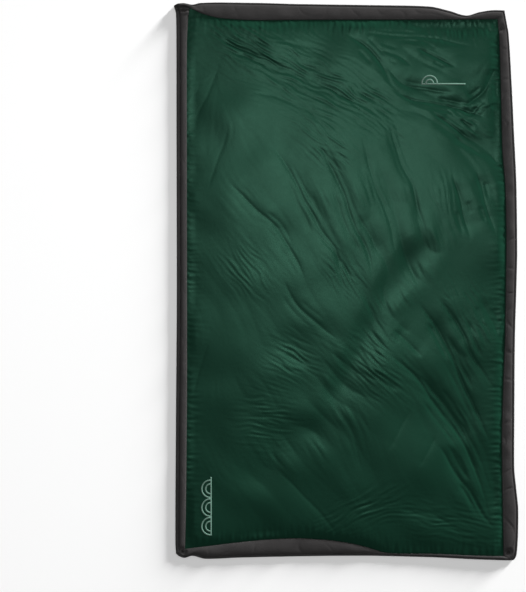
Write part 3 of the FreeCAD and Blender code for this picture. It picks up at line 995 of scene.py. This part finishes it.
def binding_points(side, share, turns):
    """Points round a binding: over the top from its inner edge, round the outside and back underneath."""
    outer, bound = edge_line(side, "outer", share)[:, None], bound_edge(side, share)[:, None]
    cos, sin = np.cos(turns), np.sin(turns)
    a = 0.5 + 0.5 * np.sign(cos) * np.abs(cos) ** 0.8
    plan = bound + (outer - bound) * a[None, :, None]
    middle, half = BINDING[side][1:]
    x, y = plan[..., 0], plan[..., 1]
    lift = 0.5 * sample(SOFT_SWELL, x, y) + 0.5 * pucker(side, x, y)
    z = middle + half * (np.sign(sin) * np.abs(sin) ** 0.8)[None] * (1 + 0.12 * lift)
    return curl(dimple(np.dstack([plan, z])))


def make_binding(side, nodes, body=None):
    """The edge binding: a folded tape round the outer edge."""
    share = side_shares(side, BINDING_STEP)
    turns = np.radians(np.linspace(168, -168, 21))
    points = binding_points(side, share, turns)
    along = run_along(points[:, 5, :2])
    girth = np.linalg.norm(np.diff(points[points.shape[0] // 2], axis=0), axis=-1).sum()
    cloth = np.stack(np.meshgrid(np.linspace(0, girth, len(turns)), along), axis=-1)
    faces = grid_faces(*points.shape[:2], upward=side in ("right", "foot"))
    tape = make_mesh(f"{side}_binding_tape", points, faces, cloth)
    finish_piece(tape, "binding", body)
    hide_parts(*nodes)


# ------ stitching
STITCH_PITCH = 3.6
STITCH_LENGTH = 2.7
STITCH_RADIUS = 0.32
STITCH_SIDES = 6
# Rings along one stitch: (share of its length, share of its radius, lift in millimetres).
STITCH_STATIONS = [(-0.5, 0.35, -0.35), (-0.3, 1, 0.05), (0.3, 1, 0.05), (0.5, 0.35, -0.35)]
THREAD_LIFT = 0.15
SEAM_STITCH_INSET = 4
BINDING_STITCH_TURN = 142.0


def unit(vectors):
    """Vectors made one long."""
    return vectors / np.maximum(np.linalg.norm(vectors, axis=-1, keepdims=True), 1e-6)


def stitch_rings(line):
    """Rings of points round each lock stitch along a line: short rounded threads, sunk at their ends."""
    turn = np.linspace(0, 2 * math.pi, STITCH_SIDES, endpoint=False)[:, None]
    run = run_along(line)
    middles = np.arange(STITCH_PITCH / 2, run[-1], STITCH_PITCH)
    centre = np.stack([np.interp(middles, run, line[:, k]) for k in range(3)], axis=-1)
    ahead = np.stack([np.interp(middles + 0.5, run, line[:, k]) for k in range(3)], axis=-1)
    way = unit(ahead - centre)
    side = unit(np.cross(way, (0, 0, 1.0)))
    up = np.cross(side, way)
    around = side[:, None] * np.cos(turn) + up[:, None] * np.sin(turn)
    rings = []
    for share, size, lift in STITCH_STATIONS:
        middle = centre + way * share * STITCH_LENGTH + up * lift
        rings.append(middle[:, None] + STITCH_RADIUS * size * around)
    return rings


def make_stitching(name, line, body=None):
    """One row of thread, as one object."""
    stack = np.stack(stitch_rings(line), axis=1)
    index = np.arange(stack.size // 3).reshape(len(stack), len(STITCH_STATIONS), STITCH_SIDES)
    wrap = np.concatenate([index, index[:, :, :1]], axis=2)
    sides = np.stack([wrap[:, :-1, :-1], wrap[:, 1:, :-1], wrap[:, 1:, 1:], wrap[:, :-1, 1:]], axis=-1)
    first, last = index[:, 0], index[:, -1]
    caps = [first[:, [0, 1, 2, 3]], first[:, [0, 3, 4, 5]], last[:, [3, 2, 1, 0]], last[:, [5, 4, 3, 0]]]
    faces = np.concatenate([sides.reshape(-1, 4)] + caps)
    cloth = stack[..., :2].reshape(-1, 2)
    thread = make_mesh(name, stack, faces, cloth)
    finish_piece(thread, "thread", body)


def stitch_side(side, body=None):
    """Stitching along one side: beside the seam, and along the binding's inner edge."""
    share = side_shares(side, STITCH_LINE_STEP)
    start = 0.03 if side in ("head", "foot") else 0.015
    share = share[(share > start) & (share < 1 - start)]
    width = np.linalg.norm(bound_edge(side, share) - edge_line(side, "seam", share), axis=-1)
    inset = np.minimum(0.5, SEAM_STITCH_INSET / width)
    rows = range(len(share))
    seam_line = np.array([band_points(side, share[i:i + 1], inset[i:i + 1])[0, 0] for i in rows])
    seam_line[:, 2] += THREAD_LIFT
    make_stitching(f"{side}_seam_stitches", seam_line, body)
    binding_line = binding_points(side, share, np.radians([BINDING_STITCH_TURN]))[:, 0]
    binding_line[:, 2] += THREAD_LIFT
    make_stitching(f"{side}_binding_stitches", binding_line, body)


# ------ prints
PRINT_STROKE = 5
ARCH_STEP = 14
FILM_THICKNESS = 0.15
FILM_LIFT = 0.45
ARCH_LIFT = 0.05
BAR_HEIGHT = 0.9 * PRINT_STROKE


def film_strip(start, end):
    """A straight stroke as a grid of plan points."""
    start, end = np.array(start, float), np.array(end, float)
    way = (end - start) / np.linalg.norm(end - start)
    side = np.array([-way[1], way[0]])
    along = np.linspace(0, 1, max(2, round(np.linalg.norm(end - start) / 3)))[:, None, None]
    across = np.linspace(-0.5, 0.5, 4)[None, :, None]
    return start + (end - start) * along + side * across * PRINT_STROKE


def film_arch(centre, radius, up, right):
    """A half ring as a grid of plan points, standing on a base line."""
    turn = np.linspace(0, math.pi, 40)[:, None, None]
    reach = np.linspace(radius - PRINT_STROKE, radius, 4)[None, :, None]
    return np.array(centre) + reach * (np.cos(turn) * right + np.sin(turn) * up)


def make_print(node, turned, arches, body):
    """A transfer film of arches on a base line, laid on the face panel where its CAD node is."""
    low, high = node_box(node)
    right, up = np.array([[0, 1.0], [-1.0, 0]] if turned else [[1.0, 0], [0, 1.0]])
    origin = np.array([high[0], low[1]]) if turned else low[:2]
    length = (high - low)[1 if turned else 0]
    height = (high - low)[0 if turned else 1]
    radius = height - BAR_HEIGHT
    bar = origin + up * PRINT_STROKE / 2
    grids = [film_strip(bar, bar + right * length)]
    for i in range(arches):
        centre = origin + right * radius * (2 * i + 1) + up * BAR_HEIGHT
        for reach in (radius, radius - ARCH_STEP):
            grids.append(film_arch(centre, reach, up, right))
    points, faces, start = [], [], 0
    for layer, grid in enumerate(grids):
        rows, cols = grid.shape[:2]
        z = face_height(grid[..., 0], grid[..., 1]) + FILM_LIFT + ARCH_LIFT * (layer > 0)
        points.append(np.dstack([grid, z]).reshape(-1, 3))
        faces.append(grid_faces(rows, cols) + start)
        start += rows * cols
    points = np.concatenate(points)
    film = make_mesh(node + "_film", points, np.concatenate(faces), points[:, :2])
    solid = film.modifiers.new("thickness", "SOLIDIFY")
    solid.thickness = FILM_THICKNESS * MM
    solid.offset = 0
    finish_piece(film, "print_film", body)
    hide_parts(node)


# ------ build
make_face_panel()
make_batt()
make_lining()
for side_name in ("left", "right"):
    make_band(side_name, halves(f"{side_name}_band"))
    make_binding(side_name, halves(f"{side_name}_binding"))
    stitch_side(side_name)
for end_name in ("head", "foot"):
    make_band(end_name, [f"{end_name}_band"], f"{end_name}_half")
    make_binding(end_name, [f"{end_name}_binding"], f"{end_name}_half")
    stitch_side(end_name, f"{end_name}_half")
make_print("upper_print", False, 1, "head_half")
make_print("lower_print", True, 3, "foot_half")

for name, thing in frame["nodes"].items():
    if "snap" in name:
        thing.data.materials.clear()
        thing.data.materials.append(MATERIALS["snap"])
        thing.data.polygons.foreach_set("use_smooth", np.full(len(thing.data.polygons), False))


# ------ floor, light and camera
def make_floor():
    half = 60.0
    mesh = bpy.data.meshes.new("floor")
    corners = [(-half, -half, 0), (half, -half, 0), (half, half, 0), (-half, half, 0)]
    mesh.from_pydata(corners, [], [(0, 1, 2, 3)])
    floor = place("floor", mesh)
    material, _ = principled("white_floor", (0.86, 0.86, 0.86), 0.8, Specular_IOR_Level=0.1)
    mesh.materials.append(material)
    floor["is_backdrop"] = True


def light(name, kind, azimuth, elevation, distance, strength, glare=True):
    """A soft light on the quilt's middle, from an azimuth and elevation in degrees, with glare or none."""
    data = bpy.data.lights.new(name, kind)
    data.energy = strength
    lamp = place(name, data)
    a, e = math.radians(azimuth), math.radians(elevation)
    away = np.array([math.cos(e) * math.cos(a), math.cos(e) * math.sin(a), math.sin(e)])
    lamp.location = distance * away
    lamp.rotation_euler = (math.pi / 2 - e, 0, a + math.pi / 2)
    lamp.visible_glossy = glare
    return data


def make_light():
    """A low one for the shadows at the left and the foot, and one overhead."""
    low = light("low", "SUN", azimuth=46, elevation=4.4, distance=5, strength=21, glare=False)
    low.angle = math.radians(9)
    top = light("top", "AREA", azimuth=86, elevation=81, distance=6.08, strength=184)
    top.size = 1.3
    world = bpy.data.worlds.new("studio")
    world.use_nodes = True
    world.node_tree.nodes["Background"].inputs["Color"].default_value = (1, 1, 1, 1)
    world.node_tree.nodes["Background"].inputs["Strength"].default_value = 0.19
    bpy.context.scene.world = world
    bpy.context.scene.view_settings.view_transform = "Standard"


def make_camera():
    """Straight down, the quilt right of the middle."""
    height, frame_height, sensor = 6.0, 2.158, 36.0
    data = bpy.data.cameras.new("camera")
    data.sensor_width = sensor
    data.lens = sensor * height / frame_height
    data.clip_end = 120
    camera = place("camera", data)
    camera.location = (-0.305, -0.053, height)
    bpy.context.scene.camera = camera


make_floor()
make_light()
make_camera()
